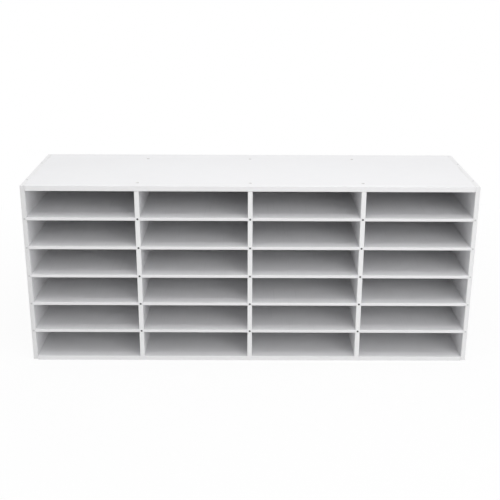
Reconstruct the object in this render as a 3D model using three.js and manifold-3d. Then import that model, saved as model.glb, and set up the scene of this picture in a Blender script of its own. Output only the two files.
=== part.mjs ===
// Pigeonhole mail sorter: a white board carcass with dividers, a thin back and shelves that pull out.
// Millimetres, +X to the right, +Y to the back, +Z up.
// The origin is on the floor, under the middle of the sorter.
import * as THREE from 'three';
import { mergeVertices } from 'three/addons/utils/BufferGeometryUtils.js';
import Module from 'manifold-3d';

// Overall sizes and the grid of pigeonholes
const WIDTH = 1000;
const DEPTH = 298;
const HEIGHT = 417;
const COLUMNS = 4;
const ROWS = 6;

// Board thicknesses
const SIDE_THICKNESS = 10;
const DIVIDER_THICKNESS = 10.5;
const TOP_THICKNESS = 12;
const BASE_THICKNESS = 10;
const SHELF_THICKNESS = 6.5;
const BACK_THICKNESS = 3;

// Fits: the gap between pieces that meet, the side panels' lift off the floor, the back's lap
// and how far a cut runs past the face that it opens
const GAP = 0.3;
const SIDE_LIFT = 2;
const BACK_LAP = 5;
const CUT_PAST = 5;

// Screws that lock the shelves, in the dividers' front edges
const LOCK_HEAD_DIAMETER = 4.4;
const LOCK_SHANK_DIAMETER = 2.4;
const LOCK_LENGTH = 22;
const LOCK_CROSS_SPAN = 2.6;
const LOCK_CROSS_SLOT = 0.7;
const LOCK_CROSS_DEPTH = 0.9;
const LOCK_WALL = 0.6;

// Screws that hold the boards together
const BOARD_HEAD_DIAMETER = 7;
const BOARD_SHANK_DIAMETER = 3.8;
const BOARD_LENGTH = 42;
const BOARD_CROSS_SPAN = 4.2;
const BOARD_CROSS_SLOT = 1.1;
const BOARD_CROSS_DEPTH = 1.5;

// Both kinds of screw: the head's straight rim and how far it is sunk
const HEAD_RIM = 0.4;
const HEAD_SINK = 0.2;
const SCREW_FACETS = 12;

// Where the board screws stand, from the front and back edges
const TOP_SCREW_FRONT_INSET = 26;
const TOP_SCREW_BACK_INSET = 45;
const SIDE_SCREW_INSET = 60;

// Worked out from the sizes above
const FRONT = -DEPTH / 2;
const BACK = DEPTH / 2;
const COLUMN_CLEAR =
  (WIDTH - 2 * SIDE_THICKNESS - (COLUMNS - 1) * DIVIDER_THICKNESS) / COLUMNS;
const ROW_CLEAR =
  (HEIGHT - TOP_THICKNESS - BASE_THICKNESS - (ROWS - 1) * SHELF_THICKNESS) / ROWS;
const INNER_TOP = HEIGHT - TOP_THICKNESS;
const INNER_HALF_WIDTH = WIDTH / 2 - SIDE_THICKNESS;
const BACK_FACE = BACK - BACK_THICKNESS;
const CORE_THICKNESS = LOCK_HEAD_DIAMETER + 2 * (GAP + LOCK_WALL);
const GROOVE_DEPTH = (DIVIDER_THICKNESS - CORE_THICKNESS) / 2;

const columnLeft = (column) =>
  -INNER_HALF_WIDTH + column * (COLUMN_CLEAR + DIVIDER_THICKNESS);
const dividerCentre = (divider) => columnLeft(divider) - DIVIDER_THICKNESS / 2;
const shelfTop = (tier) => BASE_THICKNESS + tier * (ROW_CLEAR + SHELF_THICKNESS);
const shelfCentre = (tier) => shelfTop(tier) - SHELF_THICKNESS / 2;

const DIVIDERS = Array.from({ length: COLUMNS - 1 }, (unused, index) => index + 1);
const TIERS = Array.from({ length: ROWS - 1 }, (unused, index) => index + 1);

// Finishes
const CARCASS_WHITE = { color: 0xe9e8e6, roughness: 0.5, metalness: 0 };
const SHELF_WHITE = { color: 0xe6e5e3, roughness: 0.5, metalness: 0 };
const BACK_WHITE = { color: 0xdedddb, roughness: 0.6, metalness: 0 };
const DARK_STEEL = { color: 0x3a3a3c, roughness: 0.45, metalness: 0.8 };
const ZINC_STEEL = { color: 0xa9abad, roughness: 0.35, metalness: 0.9 };

const wasm = await Module();
wasm.setup();

// Turns a closed three.js geometry into a solid that can be cut
function toSolid(geometry) {
  const bare = geometry.index ? geometry.toNonIndexed() : geometry.clone();
  bare.deleteAttribute('normal');
  bare.deleteAttribute('uv');
  const merged = mergeVertices(bare, 1e-4);
  return new wasm.Manifold(new wasm.Mesh({
    numProp: 3,
    vertProperties: new Float32Array(merged.attributes.position.array),
    triVerts: new Uint32Array(merged.index.array),
  }));
}

// Turns a solid back into a three.js geometry
function toGeometry(solid) {
  const mesh = solid.getMesh();
  const geometry = new THREE.BufferGeometry();
  geometry.setAttribute('position', new THREE.BufferAttribute(mesh.vertProperties, mesh.numProp));
  geometry.setIndex(new THREE.BufferAttribute(mesh.triVerts, 1));
  geometry.computeVertexNormals();
  return geometry;
}

function namedMesh(name, geometry, finish) {
  const mesh = new THREE.Mesh(geometry, new THREE.MeshStandardMaterial(finish));
  mesh.name = name;
  return mesh;
}

// A board between two corners
function board(low, high) {
  const size = high.map((value, axis) => value - low[axis]);
  const centre = high.map((value, axis) => (value + low[axis]) / 2);
  return new THREE.BoxGeometry(...size).translate(...centre);
}

function cutBoard(low, high, cutters) {
  const whole = toSolid(board(low, high));
  return toGeometry(cutters.reduce((solid, cutter) => solid.subtract(toSolid(cutter)), whole));
}

// A countersunk screw along -Z with its head's face at z = 0
function screwProfile(headDiameter, shankDiameter, length, growth) {
  const headRadius = headDiameter / 2 + growth;
  const shankRadius = shankDiameter / 2 + growth;
  const coneEnd = HEAD_RIM + (headDiameter - shankDiameter) / 2 + growth;
  return [
    [0, -length - growth],
    [shankRadius, -length + shankDiameter - growth],
    [shankRadius, -coneEnd],
    [headRadius, -HEAD_RIM - growth],
  ];
}

function turned(profile) {
  return new THREE.LatheGeometry(profile.map(([r, z]) => new THREE.Vector2(r, z)), SCREW_FACETS)
    .rotateX(Math.PI / 2);
}

function screwGeometry(screw) {
  const profile = screwProfile(screw.head, screw.shank, screw.length, 0);
  const body = turned([...profile, [screw.head / 2, 0], [0, 0]]);
  const slot = [screw.crossSpan, screw.crossSlot, 2 * screw.crossDepth];
  const drive = toSolid(new THREE.BoxGeometry(...slot))
    .add(toSolid(new THREE.BoxGeometry(slot[1], slot[0], slot[2])));
  return toGeometry(toSolid(body).subtract(drive));
}

// The hole that a screw stands in, open above its head
function screwHole(screw) {
  const mouth = HEAD_SINK + CUT_PAST;
  const profile = screwProfile(screw.head, screw.shank, screw.length, GAP);
  return turned([...profile, [screw.head / 2 + GAP, mouth], [0, mouth]]);
}

const LOCK_SCREW = {
  head: LOCK_HEAD_DIAMETER,
  shank: LOCK_SHANK_DIAMETER,
  length: LOCK_LENGTH,
  crossSpan: LOCK_CROSS_SPAN,
  crossSlot: LOCK_CROSS_SLOT,
  crossDepth: LOCK_CROSS_DEPTH,
  finish: DARK_STEEL,
};
const BOARD_SCREW = {
  head: BOARD_HEAD_DIAMETER,
  shank: BOARD_SHANK_DIAMETER,
  length: BOARD_LENGTH,
  crossSpan: BOARD_CROSS_SPAN,
  crossSlot: BOARD_CROSS_SLOT,
  crossDepth: BOARD_CROSS_DEPTH,
  finish: ZINC_STEEL,
};

// A screw driven at a point of a board's face, against the face's outward direction
function drivenScrew(name, kind, point, outward) {
  const direction = new THREE.Vector3(...outward);
  const turn = new THREE.Quaternion().setFromUnitVectors(new THREE.Vector3(0, 0, 1), direction);
  const place = new THREE.Vector3(...point).addScaledVector(direction, -HEAD_SINK);
  const matrix = new THREE.Matrix4().compose(place, turn, new THREE.Vector3(1, 1, 1));
  const mesh = namedMesh(name, screwGeometry(kind), kind.finish);
  mesh.position.copy(place);
  mesh.quaternion.copy(turn);
  return { mesh, hole: screwHole(kind).applyMatrix4(matrix) };
}

// Lock screws, one for each tier in each divider's front edge
const lockScrews = (divider) => TIERS.map((tier) => drivenScrew(
  `lock_screw_div${divider}_tier${tier}`,
  LOCK_SCREW,
  [dividerCentre(divider), FRONT, shelfCentre(tier)],
  [0, -1, 0],
));

// Screws down through the top into a divider, near the front and near the back
const topScrews = (divider) => [
  ['front', FRONT + TOP_SCREW_FRONT_INSET],
  ['back', BACK - TOP_SCREW_BACK_INSET],
].map(([end, y]) => drivenScrew(
  `top_screw_div${divider}_${end}`,
  BOARD_SCREW,
  [dividerCentre(divider), y, HEIGHT],
  [0, 0, 1],
));

// A screw up through the base into a divider
const baseScrew = (divider) => drivenScrew(
  `base_screw_div${divider}`,
  BOARD_SCREW,
  [dividerCentre(divider), 0, 0],
  [0, 0, -1],
);

// Screws through a side panel into the ends of the top and the base
const SIDE_SCREW_PLACES = [
  ['top_front', FRONT + SIDE_SCREW_INSET, INNER_TOP + TOP_THICKNESS / 2],
  ['top_back', BACK - SIDE_SCREW_INSET, INNER_TOP + TOP_THICKNESS / 2],
  ['base_front', FRONT + SIDE_SCREW_INSET, BASE_THICKNESS / 2],
  ['base_back', BACK - SIDE_SCREW_INSET, BASE_THICKNESS / 2],
];
const sideScrews = (side, sign) => SIDE_SCREW_PLACES.map(([end, y, z]) => drivenScrew(
  `${side}_screw_${end}`,
  BOARD_SCREW,
  [sign * WIDTH / 2, y, z],
  [sign, 0, 0],
));

const screws = {
  lock: DIVIDERS.map(lockScrews),
  top: DIVIDERS.map(topScrews),
  base: DIVIDERS.map(baseScrew),
  left: sideScrews('left_side', -1),
  right: sideScrews('right_side', 1),
};
const holes = (list) => list.map((screw) => screw.hole);

// The back panel, lapped into a rebate in the sides, the top and the base
const BACK_HALF_WIDTH = INNER_HALF_WIDTH + BACK_LAP - GAP;
const backLow = [-BACK_HALF_WIDTH, BACK_FACE, BASE_THICKNESS - BACK_LAP + GAP];
const backHigh = [BACK_HALF_WIDTH, BACK, INNER_TOP + BACK_LAP - GAP];
const backRebate = board(
  backLow.map((value) => value - GAP),
  [backHigh[0] + GAP, BACK + CUT_PAST, backHigh[2] + GAP],
);

// The groove for a tier's shelves in an upright's face, from the front edge to the back
function groove(face, inward, tier) {
  const bottom = face + inward * GROOVE_DEPTH;
  const mouth = face - inward * CUT_PAST;
  return board(
    [Math.min(bottom, mouth), FRONT - CUT_PAST, shelfTop(tier) - SHELF_THICKNESS - GAP],
    [Math.max(bottom, mouth), BACK + CUT_PAST, shelfTop(tier) + GAP],
  );
}

function sidePanel(name, sign, sideHoles) {
  const inner = sign * INNER_HALF_WIDTH;
  const outer = sign * WIDTH / 2;
  const grooves = TIERS.map((tier) => groove(inner, sign, tier));
  return namedMesh(name, cutBoard(
    [Math.min(inner, outer), FRONT, SIDE_LIFT],
    [Math.max(inner, outer), BACK, HEIGHT],
    [...grooves, backRebate, ...sideHoles],
  ), CARCASS_WHITE);
}

function dividerPanel(divider) {
  const centre = dividerCentre(divider);
  const left = centre - DIVIDER_THICKNESS / 2;
  const right = centre + DIVIDER_THICKNESS / 2;
  const grooves = TIERS.flatMap((tier) => [groove(left, 1, tier), groove(right, -1, tier)]);
  const own = divider - 1;
  const dividerHoles = holes([...screws.lock[own], ...screws.top[own], screws.base[own]]);
  return namedMesh(`divider_${divider}`, cutBoard(
    [left, FRONT, BASE_THICKNESS + GAP],
    [right, BACK_FACE - GAP, INNER_TOP - GAP],
    [...grooves, ...dividerHoles],
  ), CARCASS_WHITE);
}

// The top or the base, between the side panels
function crossPanel(name, bottom, top, panelHoles) {
  const halfWidth = INNER_HALF_WIDTH - GAP;
  return namedMesh(name, cutBoard(
    [-halfWidth, FRONT, bottom],
    [halfWidth, BACK, top],
    [backRebate, ...panelHoles],
  ), CARCASS_WHITE);
}

// A shelf, its ends in the grooves of the uprights on either side
function shelf(tier, column) {
  const reach = GROOVE_DEPTH - GAP;
  return namedMesh(`shelf_tier${tier}_col${column}`, board(
    [columnLeft(column - 1) - reach, FRONT, shelfTop(tier) - SHELF_THICKNESS],
    [columnLeft(column - 1) + COLUMN_CLEAR + reach, BACK_FACE - GAP, shelfTop(tier)],
  ), SHELF_WHITE);
}

const endHoles = holes([...screws.left, ...screws.right]);
const carcass = new THREE.Group();
carcass.add(
  sidePanel('left_side', -1, holes(screws.left)),
  sidePanel('right_side', 1, holes(screws.right)),
  crossPanel('top_panel', INNER_TOP, HEIGHT, [...holes(screws.top.flat()), ...endHoles]),
  crossPanel('base_panel', 0, BASE_THICKNESS, [...holes(screws.base), ...endHoles]),
  ...DIVIDERS.map(dividerPanel),
  namedMesh('back_panel', board(backLow, backHigh), BACK_WHITE),
);

const fasteners = new THREE.Group();
fasteners.add(...Object.values(screws).flat(2).map((screw) => screw.mesh));

const shelves = new THREE.Group();
for (const tier of TIERS) {
  for (let column = 1; column <= COLUMNS; column += 1) {
    shelves.add(shelf(tier, column));
  }
}

const sorter = new THREE.Group();
sorter.add(carcass, fasteners, shelves);

export default sorter;
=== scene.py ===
import math

import bmesh
import bpy
from mathutils import Matrix, Vector


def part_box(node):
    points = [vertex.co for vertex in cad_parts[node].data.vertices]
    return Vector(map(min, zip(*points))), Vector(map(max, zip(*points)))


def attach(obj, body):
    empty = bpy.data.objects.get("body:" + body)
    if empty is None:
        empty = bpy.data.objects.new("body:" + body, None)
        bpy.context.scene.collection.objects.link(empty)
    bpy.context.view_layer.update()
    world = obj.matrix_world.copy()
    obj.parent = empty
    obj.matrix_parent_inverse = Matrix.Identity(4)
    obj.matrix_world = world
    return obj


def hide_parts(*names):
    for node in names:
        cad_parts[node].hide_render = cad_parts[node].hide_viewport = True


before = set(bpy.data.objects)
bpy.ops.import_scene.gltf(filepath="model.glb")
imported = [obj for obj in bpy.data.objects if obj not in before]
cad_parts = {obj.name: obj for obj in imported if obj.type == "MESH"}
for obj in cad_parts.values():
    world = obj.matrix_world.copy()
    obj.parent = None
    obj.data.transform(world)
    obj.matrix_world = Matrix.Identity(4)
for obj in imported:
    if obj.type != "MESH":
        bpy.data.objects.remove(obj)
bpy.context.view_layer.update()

# Camera
# A short telephoto on a stand in front of the sorter, at about twice the sorter's height and
# aimed down at its front. The small turn and roll are how the stand was set up.
SENSOR_WIDTH = 36.0
LENS_LENGTH = 64.52
STAND_PLACE = (-0.0071, -2.0282, 0.9259)
STAND_TURN = math.radians(-0.214)
STAND_ROLL = math.radians(0.248)
TILT_FROM_PLUMB = math.radians(90.0 - 19.216)
camera_data = bpy.data.cameras.new("camera")
camera_data.sensor_width = SENSOR_WIDTH
camera_data.lens = LENS_LENGTH
camera = bpy.data.objects.new("camera", camera_data)
camera_aim = Matrix.Rotation(STAND_TURN, 4, "Z") @ Matrix.Rotation(TILT_FROM_PLUMB, 4, "X")
camera.matrix_world = Matrix.Translation(STAND_PLACE) @ camera_aim @ Matrix.Rotation(STAND_ROLL, 4, "Z")
bpy.context.scene.collection.objects.link(camera)
bpy.context.scene.camera = camera
bpy.context.scene.view_settings.view_transform = "Standard"

# Side panels
# Full-height boards of fibreboard faced with white melamine and grooved for the shelves' ends. Their
# foot and back edges stay raw, and white plastic bands are ironed on to their front and top edges.
# Each side's front band has a white of its own, greyer than the dividers' and the left one greyest: painted
# shade for the light falling off towards the ends of the front, most at the left.
BAND_THICKNESS = 0.0010
BAND_ROUNDING = 0.0007
ROUNDING_STEPS = 4
EDGE_EASING = 0.00015
SQUARE_CORNER = 1.0
GLUE_LINE = 0.00004
FACE_WHITE = (0.820, 0.820, 0.832, 1.0)
BAND_WHITE = (0.785, 0.785, 0.790, 1.0)
# Painted shade: the side panels' front bands are darker than the band white, the left one most.
SIDE_BAND_PAINTED_SHADE = {"left": (0.730, 0.730, 0.734, 1.0), "right": (0.772, 0.772, 0.776, 1.0)}
NOISE_SPAN = (0.3, 0.7)


def shader_group(name, inputs, outputs):
    """An empty node group with named sockets, with its input and output nodes."""
    tree = bpy.data.node_groups.new(name, "ShaderNodeTree")
    for socket_name, kind in inputs:
        tree.interface.new_socket(socket_name, in_out="INPUT", socket_type=kind)
    for socket_name, kind in outputs:
        tree.interface.new_socket(socket_name, in_out="OUTPUT", socket_type=kind)
    return tree, tree.nodes.new("NodeGroupInput"), tree.nodes.new("NodeGroupOutput")


def feed(tree, source, socket):
    """Gives a socket a fixed number or colour, or links it to another node's output."""
    if isinstance(source, (float, tuple)):
        socket.default_value = source
    else:
        tree.links.new(source, socket)


def object_coordinates(tree, stretch=(1.0, 1.0, 1.0)):
    coordinates = tree.nodes.new("ShaderNodeTexCoord")
    mapping = tree.nodes.new("ShaderNodeMapping")
    mapping.inputs["Scale"].default_value = stretch
    tree.links.new(coordinates.outputs["Object"], mapping.inputs["Vector"])
    return mapping.outputs["Vector"]


def noise(tree, vector, scale, detail, distortion=0.0):
    node = tree.nodes.new("ShaderNodeTexNoise")
    feed(tree, vector, node.inputs["Vector"])
    feed(tree, scale, node.inputs["Scale"])
    node.inputs["Detail"].default_value = detail
    node.inputs["Distortion"].default_value = distortion
    return node.outputs["Fac"]


def remap(tree, value, span, to_low, to_high):
    node = tree.nodes.new("ShaderNodeMapRange")
    feed(tree, value, node.inputs["Value"])
    node.inputs["From Min"].default_value, node.inputs["From Max"].default_value = span
    feed(tree, to_low, node.inputs["To Min"])
    feed(tree, to_high, node.inputs["To Max"])
    return node.outputs["Result"]


def arithmetic(tree, operation, first, second):
    node = tree.nodes.new("ShaderNodeMath")
    node.operation = operation
    feed(tree, first, node.inputs[0])
    feed(tree, second, node.inputs[1])
    return node.outputs["Value"]


def tinted(tree, colour, tone):
    node = tree.nodes.new("ShaderNodeMix")
    node.data_type = "RGBA"
    node.blend_type = "MULTIPLY"
    node.inputs["Factor"].default_value = 1.0
    feed(tree, colour, node.inputs["A"])
    feed(tree, tone, node.inputs["B"])
    return node.outputs["Result"]


# The pearl finish of a pressed white facing: faint clouds of tone, a fine dimple and patchy sheen.
SHEEN_SPREAD = 0.08
SHEEN_PATCH_SPAN = (0.35, 0.7)
DIMPLE_STRENGTH = 0.35
pearl_group, pearl_in, pearl_out = shader_group(
    "pearl_facing",
    [("Colour", "NodeSocketColor"), ("Mottle", "NodeSocketFloat"), ("Sheen Spread", "NodeSocketFloat"),
     ("Roughness", "NodeSocketFloat"), ("Dimple Scale", "NodeSocketFloat")],
    [("Colour", "NodeSocketColor"), ("Roughness", "NodeSocketFloat"), ("Height", "NodeSocketFloat")],
)
pearl_place = object_coordinates(pearl_group)
pearl_cloud = noise(pearl_group, pearl_place, scale=5.0, detail=4.0, distortion=0.4)
pearl_dip = arithmetic(pearl_group, "SUBTRACT", 1.0, pearl_in.outputs["Mottle"])
pearl_tone = remap(pearl_group, pearl_cloud, NOISE_SPAN, pearl_dip, 1.0)
pearl_patch = noise(pearl_group, pearl_place, scale=26.0, detail=3.0, distortion=0.8)
pearl_satin = pearl_in.outputs["Roughness"]
pearl_dull = arithmetic(pearl_group, "ADD", pearl_satin, pearl_in.outputs["Sheen Spread"])
pearl_rough = remap(pearl_group, pearl_patch, SHEEN_PATCH_SPAN, pearl_satin, pearl_dull)
pearl_dimple = noise(pearl_group, pearl_place, scale=pearl_in.outputs["Dimple Scale"], detail=2.0)
pearl_colour = tinted(pearl_group, pearl_in.outputs["Colour"], pearl_tone)
pearl_group.links.new(pearl_colour, pearl_out.inputs["Colour"])
pearl_group.links.new(pearl_rough, pearl_out.inputs["Roughness"])
pearl_group.links.new(pearl_dimple, pearl_out.inputs["Height"])


def bare_material(name):
    material = bpy.data.materials.new(name)
    material.use_nodes = True
    return material, material.node_tree, material.node_tree.nodes["Principled BSDF"]


def bumped(tree, shader, height, depth, strength):
    bump = tree.nodes.new("ShaderNodeBump")
    bump.inputs["Distance"].default_value = depth
    bump.inputs["Strength"].default_value = strength
    tree.links.new(height, bump.inputs["Height"])
    tree.links.new(bump.outputs["Normal"], shader.inputs["Normal"])


def pearl_finish(tree, colour, roughness, mottle, dimple_scale):
    """The outputs of the pearl group, placed in a material with that material's own values."""
    group = tree.nodes.new("ShaderNodeGroup")
    group.node_tree = pearl_group
    group.inputs["Colour"].default_value = colour
    group.inputs["Roughness"].default_value = roughness
    group.inputs["Mottle"].default_value = mottle
    group.inputs["Sheen Spread"].default_value = SHEEN_SPREAD
    group.inputs["Dimple Scale"].default_value = dimple_scale
    return group.outputs


def pearl_material(name, dimple_depth, **finish):
    material, tree, shader = bare_material(name)
    pearl = pearl_finish(tree, **finish)
    tree.links.new(pearl["Colour"], shader.inputs["Base Color"])
    tree.links.new(pearl["Roughness"], shader.inputs["Roughness"])
    bumped(tree, shader, pearl["Height"], dimple_depth, DIMPLE_STRENGTH)
    return material


MELAMINE_FINISH = {"colour": FACE_WHITE, "roughness": 0.42, "mottle": 0.018, "dimple_scale": 1100.0}
MELAMINE_DIMPLE = 0.00006
BAND_FINISH = {"roughness": 0.34, "mottle": 0.012, "dimple_scale": 420.0}
BAND_DIMPLE = 0.00004
melamine = pearl_material("white_melamine", MELAMINE_DIMPLE, **MELAMINE_FINISH)
edge_band = pearl_material("white_edge_band", BAND_DIMPLE, colour=BAND_WHITE, **BAND_FINISH)

# Raw fibreboard: pressed tan fibres with darker and paler flecks, matt and slightly rough.
CORE_BROWN = (0.300, 0.205, 0.120, 1.0)
CORE_TAN = (0.470, 0.345, 0.220, 1.0)
CORE_STRAW = (0.580, 0.450, 0.310, 1.0)
BROWN_FLECK, TAN_FLECK, STRAW_FLECK = 0.32, 0.5, 0.70
CORE_ROUGHNESS = (0.78, 0.92)
raw_core, raw_tree, raw_shader = bare_material("raw_fibreboard")
raw_fleck = noise(raw_tree, object_coordinates(raw_tree), scale=1500.0, detail=4.0)
raw_ramp = raw_tree.nodes.new("ShaderNodeValToRGB")
brown_stop, straw_stop = raw_ramp.color_ramp.elements
brown_stop.position = BROWN_FLECK
brown_stop.color = CORE_BROWN
straw_stop.position = STRAW_FLECK
straw_stop.color = CORE_STRAW
raw_ramp.color_ramp.elements.new(TAN_FLECK).color = CORE_TAN
raw_rough = remap(raw_tree, raw_fleck, NOISE_SPAN, *CORE_ROUGHNESS)
raw_tree.links.new(raw_fleck, raw_ramp.inputs["Fac"])
raw_tree.links.new(raw_ramp.outputs["Color"], raw_shader.inputs["Base Color"])
raw_tree.links.new(raw_rough, raw_shader.inputs["Roughness"])
bumped(raw_tree, raw_shader, raw_fleck, depth=0.00015, strength=0.5)

# A board's material slots, in the order of the materials that it is given.
FACE, BAND, CORE, TOP_BAND = range(4)
OUTWARD = {
    "left": Vector((-1, 0, 0)),
    "right": Vector((1, 0, 0)),
    "front": Vector((0, -1, 0)),
    "back": Vector((0, 1, 0)),
    "under": Vector((0, 0, -1)),
    "upper": Vector((0, 0, 1)),
}


def side_of(normal):
    return max(OUTWARD, key=lambda side: OUTWARD[side].dot(normal))


def block(low, high):
    """A closed box between two corners, as a bmesh."""
    shape = bmesh.new()
    size = Vector(high) - Vector(low)
    centre = (Vector(high) + Vector(low)) / 2
    bmesh.ops.create_cube(shape, matrix=Matrix.Translation(centre) @ Matrix.Diagonal((*size, 1.0)))
    shape.normal_update()
    return shape


def slab(low, high, slots, plain_slot, rounded_side=None):
    """A box with eased edges and a material slot for each side; one side's rim can be rounded over."""
    shape = block(low, high)
    for face in shape.faces:
        face.material_index = slots.get(side_of(face.normal), plain_slot)
    if rounded_side:
        rim = next(face for face in shape.faces if side_of(face.normal) == rounded_side)
        bmesh.ops.bevel(shape, geom=list(rim.edges), offset=BAND_ROUNDING, segments=ROUNDING_STEPS,
                        profile=0.5, affect="EDGES", clamp_overlap=True)
    square_edges = [edge for edge in shape.edges if edge.calc_face_angle(0.0) > SQUARE_CORNER]
    bmesh.ops.bevel(shape, geom=square_edges, offset=EDGE_EASING, segments=1, profile=0.5,
                    affect="EDGES", clamp_overlap=True)
    return shape


def faced_core(low, high, faced_sides):
    """A board's core behind its front band, white at the front and on the faced sides."""
    core_low = (low[0], low[1] + BAND_THICKNESS, low[2])
    return slab(core_low, high, dict.fromkeys((*faced_sides, "front"), FACE), CORE)


def front_band(low, high, end_slot=BAND):
    """The band along a board's front edge, a line of glue in front of the core."""
    band_high = (high[0], low[1] + BAND_THICKNESS - GLUE_LINE, high[2])
    return slab(low, band_high, {"left": end_slot, "right": end_slot}, BAND, "front")


def joined_mesh(name, shapes):
    whole = bmesh.new()
    for shape in shapes:
        loose = bpy.data.meshes.new("loose")
        shape.to_mesh(loose)
        shape.free()
        whole.from_mesh(loose)
        bpy.data.meshes.remove(loose)
    mesh = bpy.data.meshes.new(name)
    whole.to_mesh(mesh)
    whole.free()
    return mesh


def linked_object(name, mesh, materials=()):
    for material in materials:
        mesh.materials.append(material)
    piece = bpy.data.objects.new(name, mesh)
    bpy.context.scene.collection.objects.link(piece)
    return piece


def carve(piece, shapes):
    """Cuts the shapes out of a piece, and leaves the result as its own mesh."""
    tool = linked_object("tool", joined_mesh("tool", shapes), [None] * len(piece.data.materials))
    boolean = piece.modifiers.new("carve", "BOOLEAN")
    boolean.operation = "DIFFERENCE"
    boolean.solver = "EXACT"
    boolean.use_self = True
    boolean.object = tool
    graph = bpy.context.evaluated_depsgraph_get()
    carved = bpy.data.meshes.new_from_object(piece.evaluated_get(graph))
    carved.name = piece.name
    piece.modifiers.clear()
    piece.data = carved
    bpy.data.objects.remove(tool)


def band_through(panel, front):
    """Shows the front band's white on every cut through it."""
    for polygon in panel.data.polygons:
        if polygon.center.y < front + BAND_THICKNESS - GLUE_LINE / 2:
            polygon.material_index = BAND


# Grooves, the back panel's rebate and the countersunk screw holes, cut past the boards' faces.
LOOSE_FIT = 0.0003
SNUG_FIT = 0.0001
CUT_PAST = 0.005
SCREW_RIM = 0.0004
BOARD_SHANK = 0.0038
HOLE_FACETS = 32
TIERS = range(1, 6)
COLUMNS = range(1, 5)
SIDE_SCREW_ENDS = ("top_front", "top_back", "base_front", "base_back")
side_screws = [(f"{side}_side_screw_{end}", side) for side in ("left", "right") for end in SIDE_SCREW_ENDS]


def grown_box(node, across):
    low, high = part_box(node)
    return low - Vector(across), high + Vector(across)


def cutter(low, high):
    shape = block(low, high)
    for face in shape.faces:
        face.material_index = CORE
    return shape


def grooves(column):
    """The room that a column's shelves need in the boards on either side of them."""
    room = (SNUG_FIT, CUT_PAST, SNUG_FIT)
    return [cutter(*grown_box(f"shelf_tier{tier}_col{column}", room)) for tier in TIERS]


def back_rebate():
    low, high = grown_box("back_panel", (LOOSE_FIT, LOOSE_FIT, LOOSE_FIT))
    return cutter(low, high + Vector((0.0, CUT_PAST, 0.0)))


def ring(radii, height):
    """Points round the Z axis, one for each radius; a single nought gives the point on the axis."""
    turns = [2.0 * math.pi * step / len(radii) for step in range(len(radii))]
    return [(radius * math.cos(turn), radius * math.sin(turn), height)
            for radius, turn in zip(radii, turns)]


def skinned(rings, slot):
    """A closed solid over rings of points that starts and ends on the axis, as a bmesh."""
    shape = bmesh.new()
    rows = [[shape.verts.new(point) for point in points] for points in rings]
    facets = max(len(row) for row in rows)
    for below, above in zip(rows, rows[1:]):
        for step in range(facets):
            ahead = (step + 1) % facets
            corners = [below[step % len(below)], below[ahead % len(below)],
                       above[ahead % len(above)], above[step % len(above)]]
            face = shape.faces.new(list(dict.fromkeys(corners)))
            face.material_index = slot
    bmesh.ops.recalc_face_normals(shape, faces=shape.faces)
    return shape


def turned(profile, facets, slot=FACE):
    """A round solid from (radius, height) points, of which the first and last lie on the axis."""
    return skinned([ring([radius] * (facets if radius else 1), height) for radius, height in profile], slot)


def facing(side):
    """The turn that points the Z axis out of a side."""
    return Vector((0.0, 0.0, 1.0)).rotation_difference(OUTWARD[side]).to_matrix().to_4x4()


def head_face(node, side):
    """The middle of a screw head's face, from the screw's box in the frame."""
    low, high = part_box(node)
    return (low + high + (high - low) * OUTWARD[side]) / 2


def screw_hole(node, side, shank):
    """The countersunk hole that a screw stands in, open past the board's face."""
    low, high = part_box(node)
    head = min(high - low) / 2
    length = max(high - low)
    shape = turned([
        (0.0, -length - LOOSE_FIT),
        (shank / 2 + LOOSE_FIT, -length + shank),
        (shank / 2 + LOOSE_FIT, -SCREW_RIM - (head - shank / 2) - LOOSE_FIT),
        (head + SNUG_FIT, -SCREW_RIM - LOOSE_FIT),
        (head + SNUG_FIT, CUT_PAST),
        (0.0, CUT_PAST),
    ], HOLE_FACETS, CORE)
    shape.transform(Matrix.Translation(head_face(node, side)) @ facing(side))
    return shape


def finished(piece, node, body):
    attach(piece, body)
    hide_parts(node)


for side, column in (("left", COLUMNS[0]), ("right", COLUMNS[-1])):
    node = f"{side}_side"
    low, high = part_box(node)
    core_top = high.z - BAND_THICKNESS
    # Each side's front band material carries that painted shade.
    side_band_painted_shade = pearl_material(f"{side}_front_band", BAND_DIMPLE,
                               colour=SIDE_BAND_PAINTED_SHADE[side], **BAND_FINISH)
    panel = linked_object(f"{node}_board", joined_mesh(f"{node}_board", [
        faced_core(low, (high.x, high.y, core_top), ("left", "right", "upper")),
        front_band(low, high),
        slab((low.x, low.y + BAND_THICKNESS, core_top + GLUE_LINE), high, {}, TOP_BAND, "upper"),
    ]), (melamine, side_band_painted_shade, raw_core, edge_band))
    holes = [screw_hole(screw, outside, BOARD_SHANK) for screw, outside in side_screws if outside == side]
    carve(panel, [*grooves(column), back_rebate(), *holes])
    band_through(panel, low.y)
    finished(panel, node, "carcass")

# Base and top panels
# White-faced boards screwed tight between the side panels. Only the front edge is banded, and the
# band is trimmed a shade short, which leaves a dark seam at each end of it. The raw back edge is
# rebated for the back panel.
END_CLOSED = 0.0002
BAND_SHORT = 0.0006
DIVIDERS = range(1, 4)
base_screws = [(f"base_screw_div{divider}", "under") for divider in DIVIDERS]
top_screws = [(f"top_screw_div{divider}_{end}", "upper")
              for divider in DIVIDERS for end in ("front", "back")]
for level, fixings in (("base", base_screws), ("top", top_screws)):
    node = f"{level}_panel"
    panel = linked_object(f"{node}_board", joined_mesh(f"{node}_board", [
        faced_core(*grown_box(node, (END_CLOSED, 0.0, 0.0)), ("under", "upper")),
        front_band(*grown_box(node, (-BAND_SHORT, 0.0, 0.0)), end_slot=CORE),
    ]), (melamine, edge_band, raw_core))
    end_fixings = [(screw, side) for screw, side in side_screws if f"_screw_{level}_" in screw]
    holes = [screw_hole(screw, side, BOARD_SHANK) for screw, side in fixings + end_fixings]
    carve(panel, [back_rebate(), *holes])
    finished(panel, node, "carcass")
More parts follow.
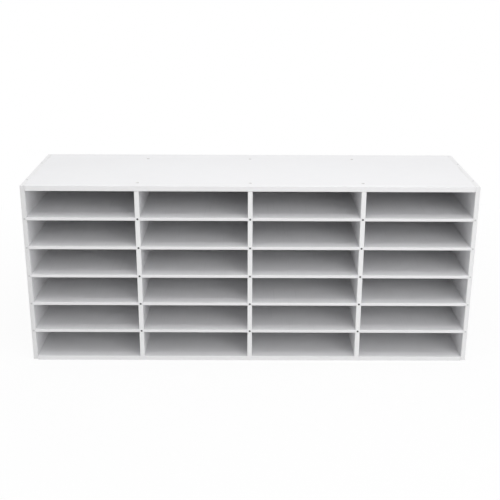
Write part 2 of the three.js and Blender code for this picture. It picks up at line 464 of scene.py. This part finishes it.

# Dividers
# Boards of the same make standing between base and top, banded at the front and grooved on both
# faces, with a thin core left between each pair of grooves where a lock screw is driven in.
# Painted light: the dividers' front bands are a lighter white than the other bands, standing in for the
# light on them.
DIVIDER_BAND_PAINTED_LIGHT = (0.812, 0.812, 0.816, 1.0)
LOCK_SHANK = 0.0024
# The dividers' front band material carries that painted light.
divider_band_painted_light = pearl_material("divider_front_band_painted_light", BAND_DIMPLE,
                              colour=DIVIDER_BAND_PAINTED_LIGHT, **BAND_FINISH)
lock_screws = [(f"lock_screw_div{divider}_tier{tier}", "front") for divider in DIVIDERS for tier in TIERS]
for divider in DIVIDERS:
    node = f"divider_{divider}"
    low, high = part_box(node)
    panel = linked_object(f"{node}_board", joined_mesh(f"{node}_board", [
        faced_core(low, high, ("left", "right")),
        front_band(low, high),
    ]), (melamine, divider_band_painted_light, raw_core))
    holes = []
    for fixings, shank in ((lock_screws, LOCK_SHANK), (top_screws + base_screws, BOARD_SHANK)):
        holes += [screw_hole(screw, side, shank) for screw, side in fixings if f"_div{divider}" in screw]
    carve(panel, [*grooves(divider), *grooves(divider + 1), *holes])
    band_through(panel, low.y)
    finished(panel, node, "carcass")

# Back panel
# A sheet of thin hardboard in the rebates, white-faced on the inside. Its outer face keeps the
# wire-mesh imprint of the press under a thin white coat, with painted shade in the imprint's
# hollows, and round-headed tacks hold it.
BACK_WHITE = (0.775, 0.775, 0.775, 1.0)
BACK_COAT = (0.760, 0.755, 0.740, 1.0)
COAT_ROUGHNESS = (0.62, 0.78)
CLOUD_DARKEST = 0.965
# Painted shade: the darkest tone painted into the hollows of the mesh imprint.
MESH_PAINTED_SHADE_DARKEST = 0.86
MESH_PITCH = 0.0016
WAVES_PER_SCALE = 3.2
inner_foil = pearl_material("back_inner_foil", dimple_depth=0.00005,
                            colour=BACK_WHITE, roughness=0.46, mottle=0.02, dimple_scale=900.0)
outer_coat, coat_tree, coat_shader = bare_material("back_outer_coat")
coat_place = object_coordinates(coat_tree)
coat_waves = []
for direction in ("X", "Z"):
    wave = coat_tree.nodes.new("ShaderNodeTexWave")
    wave.bands_direction = direction
    wave.inputs["Scale"].default_value = 1.0 / (MESH_PITCH * WAVES_PER_SCALE)
    wave.inputs["Distortion"].default_value = 0.6
    wave.inputs["Detail"].default_value = 1.0
    coat_tree.links.new(coat_place, wave.inputs["Vector"])
    coat_waves.append(wave.outputs["Fac"])
coat_mesh = arithmetic(coat_tree, "MULTIPLY", *coat_waves)
coat_cloud = noise(coat_tree, coat_place, scale=9.0, detail=4.0, distortion=0.5)
coat_cloud_tone = remap(coat_tree, coat_cloud, NOISE_SPAN, CLOUD_DARKEST, 1.0)
# Painted shade: the mesh imprint's hollows are coloured darker to show the shallow bump's shading; the
# clouds are the coat's own random tone.
coat_mesh_painted_shade = remap(coat_tree, coat_mesh, (0.0, 1.0), MESH_PAINTED_SHADE_DARKEST, 1.0)
coat_tone_and_painted_shade = arithmetic(coat_tree, "MULTIPLY", coat_cloud_tone, coat_mesh_painted_shade)
coat_rough = remap(coat_tree, coat_cloud, NOISE_SPAN, *COAT_ROUGHNESS)
coat_tree.links.new(tinted(coat_tree, BACK_COAT, coat_tone_and_painted_shade), coat_shader.inputs["Base Color"])
coat_tree.links.new(coat_rough, coat_shader.inputs["Roughness"])
bumped(coat_tree, coat_shader, coat_mesh, depth=0.00012, strength=0.5)

COAT = 1
back_low, back_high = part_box("back_panel")
back = linked_object("back_panel_sheet", joined_mesh("back_panel_sheet", [
    slab(back_low, back_high, {"front": FACE, "back": COAT}, CORE),
]), (inner_foil, outer_coat, raw_core))
finished(back, "back_panel", "carcass")

# Shelves
# Thinner white-faced boards whose raw ends slide in the grooves. The front edge is banded like
# the uprights', and use has left faint marks on the faces that run from front to back.
MARK_STRETCH = (1.0, 0.02, 1.0)
MARK_SPAN = (0.58, 0.75)
MARK_DARKEST = 0.965
RUB_SPAN = (0.55, 0.75)
RUB_DULLING = 0.12
shelf_face, shelf_tree, shelf_shader = bare_material("white_shelf_face")
shelf_pearl = pearl_finish(shelf_tree, **MELAMINE_FINISH)
shelf_marks = noise(shelf_tree, object_coordinates(shelf_tree, MARK_STRETCH), scale=420.0, detail=2.0)
shelf_tone = remap(shelf_tree, shelf_marks, MARK_SPAN, 1.0, MARK_DARKEST)
shelf_colour = tinted(shelf_tree, shelf_pearl["Colour"], shelf_tone)
shelf_rub = remap(shelf_tree, shelf_marks, RUB_SPAN, 0.0, RUB_DULLING)
shelf_rough = arithmetic(shelf_tree, "ADD", shelf_pearl["Roughness"], shelf_rub)
shelf_tree.links.new(shelf_colour, shelf_shader.inputs["Base Color"])
shelf_tree.links.new(shelf_rough, shelf_shader.inputs["Roughness"])
bumped(shelf_tree, shelf_shader, shelf_pearl["Height"], MELAMINE_DIMPLE, DIMPLE_STRENGTH)

for tier in TIERS:
    for column in COLUMNS:
        node = f"shelf_tier{tier}_col{column}"
        low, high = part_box(node)
        shelf = linked_object(f"{node}_board", joined_mesh(f"{node}_board", [
            faced_core(low, high, ("under", "upper")),
            front_band(low, high),
        ]), (shelf_face, edge_band, raw_core))
        finished(shelf, node, node)

# Lock screws and board screws
# Countersunk steel screws with a cross recess. Small dark oxide ones stand in the dividers' front
# edges, and larger zinc-plated ones hold the top, the base and the sides together.
OXIDE_BLACK = (0.100, 0.100, 0.105, 1.0)
ZINC_GREY = (0.700, 0.710, 0.725, 1.0)
TARNISH_DULLING = 0.15
THREAD_FACETS = 20
STEPS_PER_TURN = 6
THREAD_FLANK = 0.3
POINT_WIDTH = 0.2
POINT_LENGTH = 0.15
HEAD_EASE = 0.12 * SCREW_RIM
RECESS_TAPER = 0.35
CREASE_ANGLE = math.radians(35.0)
TURN_BETWEEN_SCREWS = math.radians(37.0)


def plated_steel(name, colour, roughness, tarnish_depth):
    material, tree, shader = bare_material(name)
    tarnish = noise(tree, object_coordinates(tree), scale=900.0, detail=3.0, distortion=0.5)
    tone = remap(tree, tarnish, NOISE_SPAN, 1.0 - tarnish_depth, 1.0)
    tree.links.new(tinted(tree, colour, tone), shader.inputs["Base Color"])
    dull = remap(tree, tarnish, NOISE_SPAN, roughness, roughness + TARNISH_DULLING)
    tree.links.new(dull, shader.inputs["Roughness"])
    shader.inputs["Metallic"].default_value = 1.0
    bumped(tree, shader, tarnish, depth=0.00002, strength=0.3)
    return material


def threaded_screw(name, node, material, shank, pitch, ridge, recess, slot_width):
    """A screw's mesh about the Z axis, its head's face at nought and its length from its box."""
    low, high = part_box(node)
    head = min(high - low) / 2
    length = max(high - low)
    cone_end = SCREW_RIM + head - shank / 2
    root = shank / 2 - ridge / 2
    thread_start = cone_end + pitch
    point_start = length - shank
    turns = int((point_start - thread_start) / pitch)

    def thread_ring(depth):
        phases = [(depth / pitch - step / THREAD_FACETS) % 1.0 for step in range(THREAD_FACETS)]
        crests = [max(0.0, 1.0 - abs(phase - 0.5) / THREAD_FLANK) for phase in phases]
        return ring([root + ridge * crest for crest in crests], -depth)

    rings = [
        ring([0.0], 0.0),
        ring([head - HEAD_EASE] * THREAD_FACETS, 0.0),
        ring([head] * THREAD_FACETS, -HEAD_EASE),
        ring([head] * THREAD_FACETS, -SCREW_RIM),
        ring([shank / 2] * THREAD_FACETS, -cone_end),
    ]
    rings += [thread_ring(thread_start + step * pitch / STEPS_PER_TURN)
              for step in range(turns * STEPS_PER_TURN + 1)]
    rings += [
        ring([root] * THREAD_FACETS, -point_start),
        ring([POINT_WIDTH * root] * THREAD_FACETS, -length + POINT_LENGTH * shank),
        ring([0.0], -length),
    ]
    shape = skinned(rings, FACE)
    for face in shape.faces:
        face.smooth = True
    screw = linked_object(name, joined_mesh(name, [shape]), [material])
    wings = []
    for long_axis in range(2):
        reach = Vector((slot_width, slot_width, recess)) / 2
        reach[long_axis] = recess / 2
        wing = block(-reach, reach)
        for vert in wing.verts:
            if vert.co.z < 0.0:
                vert.co[long_axis] *= RECESS_TAPER
        wings.append(wing)
    carve(screw, wings)
    screw.data.set_sharp_from_angle(angle=CREASE_ANGLE)
    mesh = screw.data
    bpy.data.objects.remove(screw)
    return mesh


dark_oxide = plated_steel("dark_oxide_steel", OXIDE_BLACK, roughness=0.42, tarnish_depth=0.35)
zinc_plate = plated_steel("zinc_plated_steel", ZINC_GREY, roughness=0.30, tarnish_depth=0.12)
lock_mesh = threaded_screw("lock_screw", "lock_screw_div1_tier1", dark_oxide, LOCK_SHANK,
                           pitch=0.0011, ridge=0.0004, recess=0.0026, slot_width=0.0007)
board_mesh = threaded_screw("board_screw", "top_screw_div1_front", zinc_plate, BOARD_SHANK,
                            pitch=0.0017, ridge=0.0005, recess=0.0042, slot_width=0.0011)
board_screws = top_screws + base_screws + side_screws
for screws, mesh, slot in ((lock_screws, lock_mesh, "lock_screw"),
                           (board_screws, board_mesh, "board_screw")):
    for order, (node, side) in enumerate(screws):
        screw = linked_object(f"{node}_steel", mesh)
        driven = Matrix.Rotation(TURN_BETWEEN_SCREWS * order, 4, "Z")
        screw.matrix_world = Matrix.Translation(head_face(node, side)) @ facing(side) @ driven
        finished(screw, node, "carcass")

# Cover caps
# Pale plastic caps pressed over the fixings in the side panels' banded edges, one at each tier of
# the front edge and two on the top edge: a low dome with a small rim that sits on the band.
CAP_RADIUS = 0.0021
CAP_HEIGHT = 0.0005
CAP_PROFILE = ((0.0, 0.0), (1.0, 0.0), (1.0, 0.4), (0.86, 0.7), (0.5, 0.93), (0.0, 1.0))
CAP_FACETS = 28
TOP_CAP_DEPTHS = (-0.098, 0.056)
CAP_GREY = (0.575, 0.575, 0.580, 1.0)
cap_plastic = pearl_material("pale_cap_plastic", dimple_depth=0.00003,
                             colour=CAP_GREY, roughness=0.38, mottle=0.05, dimple_scale=1600.0)
cap_seats = []
for panel, column in (("left_side", COLUMNS[0]), ("right_side", COLUMNS[-1])):
    panel_low, panel_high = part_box(panel)
    panel_middle = (panel_low.x + panel_high.x) / 2
    for tier in TIERS:
        shelf_low, shelf_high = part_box(f"shelf_tier{tier}_col{column}")
        cap_seats.append(((panel_middle, panel_low.y, (shelf_low.z + shelf_high.z) / 2), "front"))
    for depth in TOP_CAP_DEPTHS:
        cap_seats.append(((panel_middle, depth, panel_high.z), "upper"))
cap_shapes = []
for seat, side in cap_seats:
    cap = turned([(CAP_RADIUS * across, CAP_HEIGHT * up) for across, up in CAP_PROFILE], CAP_FACETS)
    cap.transform(Matrix.Translation(seat) @ facing(side))
    cap_shapes.append(cap)
caps = linked_object("side_edge_caps", joined_mesh("side_edge_caps", cap_shapes), [cap_plastic])
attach(caps, "carcass")

# Back tacks
# Round-headed zinc-plated tacks driven through the back panel's rim into the boards, with one
# upright row into each divider.
TACK_RADIUS = 0.0022
TACK_HEIGHT = 0.0007
TACK_PROFILE = ((0.0, 0.0), (1.0, 0.0), (0.95, 0.35), (0.7, 0.75), (0.35, 0.95), (0.0, 1.0))
TACK_FACETS = 18
TACK_INSET = 0.0024
RIM_COLUMNS = 11
RIM_ROWS = 5
rim_left, rim_right = back_low.x + TACK_INSET, back_high.x - TACK_INSET
rim_foot, rim_head = back_low.z + TACK_INSET, back_high.z - TACK_INSET
tack_places = []
for step in range(RIM_COLUMNS):
    x = rim_left + (rim_right - rim_left) * step / (RIM_COLUMNS - 1)
    tack_places += [(x, rim_foot), (x, rim_head)]
for step in range(1, RIM_ROWS):
    z = back_low.z + (back_high.z - back_low.z) * step / RIM_ROWS
    tack_places += [(rim_left, z), (rim_right, z)]
    for divider in DIVIDERS:
        divider_low, divider_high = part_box(f"divider_{divider}")
        tack_places.append(((divider_low.x + divider_high.x) / 2, z))
tack_shapes = []
for x, z in tack_places:
    tack = turned([(TACK_RADIUS * across, TACK_HEIGHT * up) for across, up in TACK_PROFILE], TACK_FACETS)
    for face in tack.faces:
        face.smooth = True
    tack.transform(Matrix.Translation((x, back_high.y, z)) @ facing("back"))
    tack_shapes.append(tack)
tacks = linked_object("back_panel_tacks", joined_mesh("back_panel_tacks", tack_shapes), [zinc_plate])
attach(tacks, "carcass")

# Floor, light and surroundings
# A pale studio floor that runs out to white. A broad softbox hangs overhead, one stands to the front
# right and a low one behind, below the height of the top, with an even white room round them.
FLOOR_HALF = 30.0
FLOOR_PAINT = (0.92, 0.92, 0.92, 1.0)
SHADE_SPAN = (0.6, 1.4)
WHITE_NEAR = 0.91
ROOM_LEVEL = 0.56
ROOM_WHITE = (1.0, 1.0, 1.0, 1.0)


def directly_seen(tree):
    """One where a ray shows a surface, straight or mirrored, and nought where it only gathers light."""
    rays = tree.nodes.new("ShaderNodeLightPath")
    seen = arithmetic(tree, "MAXIMUM", rays.outputs["Is Camera Ray"], rays.outputs["Is Glossy Ray"])
    return arithmetic(tree, "MAXIMUM", seen, rays.outputs["Is Transmission Ray"])


def mixed_surface(tree, output, share, first, second):
    mix = tree.nodes.new("ShaderNodeMixShader")
    tree.links.new(share, mix.inputs["Fac"])
    tree.links.new(first, mix.inputs[1])
    tree.links.new(second, mix.inputs[2])
    tree.links.new(mix.outputs["Shader"], tree.nodes.new(output).inputs["Surface"])


floor_paint = bpy.data.materials.new("pale_floor")
floor_paint.use_nodes = True
floor_tree = floor_paint.node_tree
floor_tree.nodes.clear()
floor_diffuse = floor_tree.nodes.new("ShaderNodeBsdfDiffuse")
floor_diffuse.inputs["Color"].default_value = FLOOR_PAINT
floor_glow = floor_tree.nodes.new("ShaderNodeEmission")
floor_reach = floor_tree.nodes.new("ShaderNodeVectorMath")
floor_reach.operation = "LENGTH"
floor_tree.links.new(object_coordinates(floor_tree), floor_reach.inputs[0])
floor_white = remap(floor_tree, floor_reach.outputs["Value"], SHADE_SPAN, WHITE_NEAR, 1.0)
floor_share = arithmetic(floor_tree, "MULTIPLY", directly_seen(floor_tree), floor_white)
mixed_surface(floor_tree, "ShaderNodeOutputMaterial", floor_share,
              floor_diffuse.outputs["BSDF"], floor_glow.outputs["Emission"])
floor_mesh = bpy.data.meshes.new("floor")
floor_corners = [(FLOOR_HALF * x, FLOOR_HALF * y, 0.0) for x, y in ((-1, -1), (1, -1), (1, 1), (-1, 1))]
floor_mesh.from_pydata(floor_corners, [], [(0, 1, 2, 3)])
floor = linked_object("floor", floor_mesh, [floor_paint])


def softbox(name, place, aim, width, height, power, mirrored=True):
    light = bpy.data.lights.new(name, "AREA")
    light.shape = "RECTANGLE"
    light.size = width
    light.size_y = height
    light.energy = power
    lamp = bpy.data.objects.new(name, light)
    lamp.location = place
    lamp.rotation_euler = (Vector(aim) - Vector(place)).to_track_quat("-Z", "Y").to_euler()
    lamp.visible_camera = False
    lamp.visible_glossy = mirrored
    bpy.context.scene.collection.objects.link(lamp)


softbox("overhead_softbox", place=(0.05, -0.6, 2.2), aim=(0.0, -0.05, 0.4),
        width=2.2, height=1.6, power=21.5)
softbox("low_rear_softbox", place=(-0.9, 2.0, 0.24), aim=(0.0, 0.15, 0.2),
        width=1.6, height=0.32, power=6.0)
softbox("front_softbox", place=(1.5, -2.6, 1.3), aim=(0.1, 0.0, 0.25),
        width=1.6, height=1.6, power=23.0, mirrored=False)

world = bpy.data.worlds.new("white_room")
world.use_nodes = True
bpy.context.scene.world = world
room_tree = world.node_tree
room_tree.nodes.clear()
room_light = room_tree.nodes.new("ShaderNodeBackground")
room_light.inputs["Color"].default_value = ROOM_WHITE
room_light.inputs["Strength"].default_value = ROOM_LEVEL
room_seen = room_tree.nodes.new("ShaderNodeBackground")
room_seen.inputs["Color"].default_value = ROOM_WHITE
mixed_surface(room_tree, "ShaderNodeOutputWorld", directly_seen(room_tree),
              room_light.outputs["Background"], room_seen.outputs["Background"])
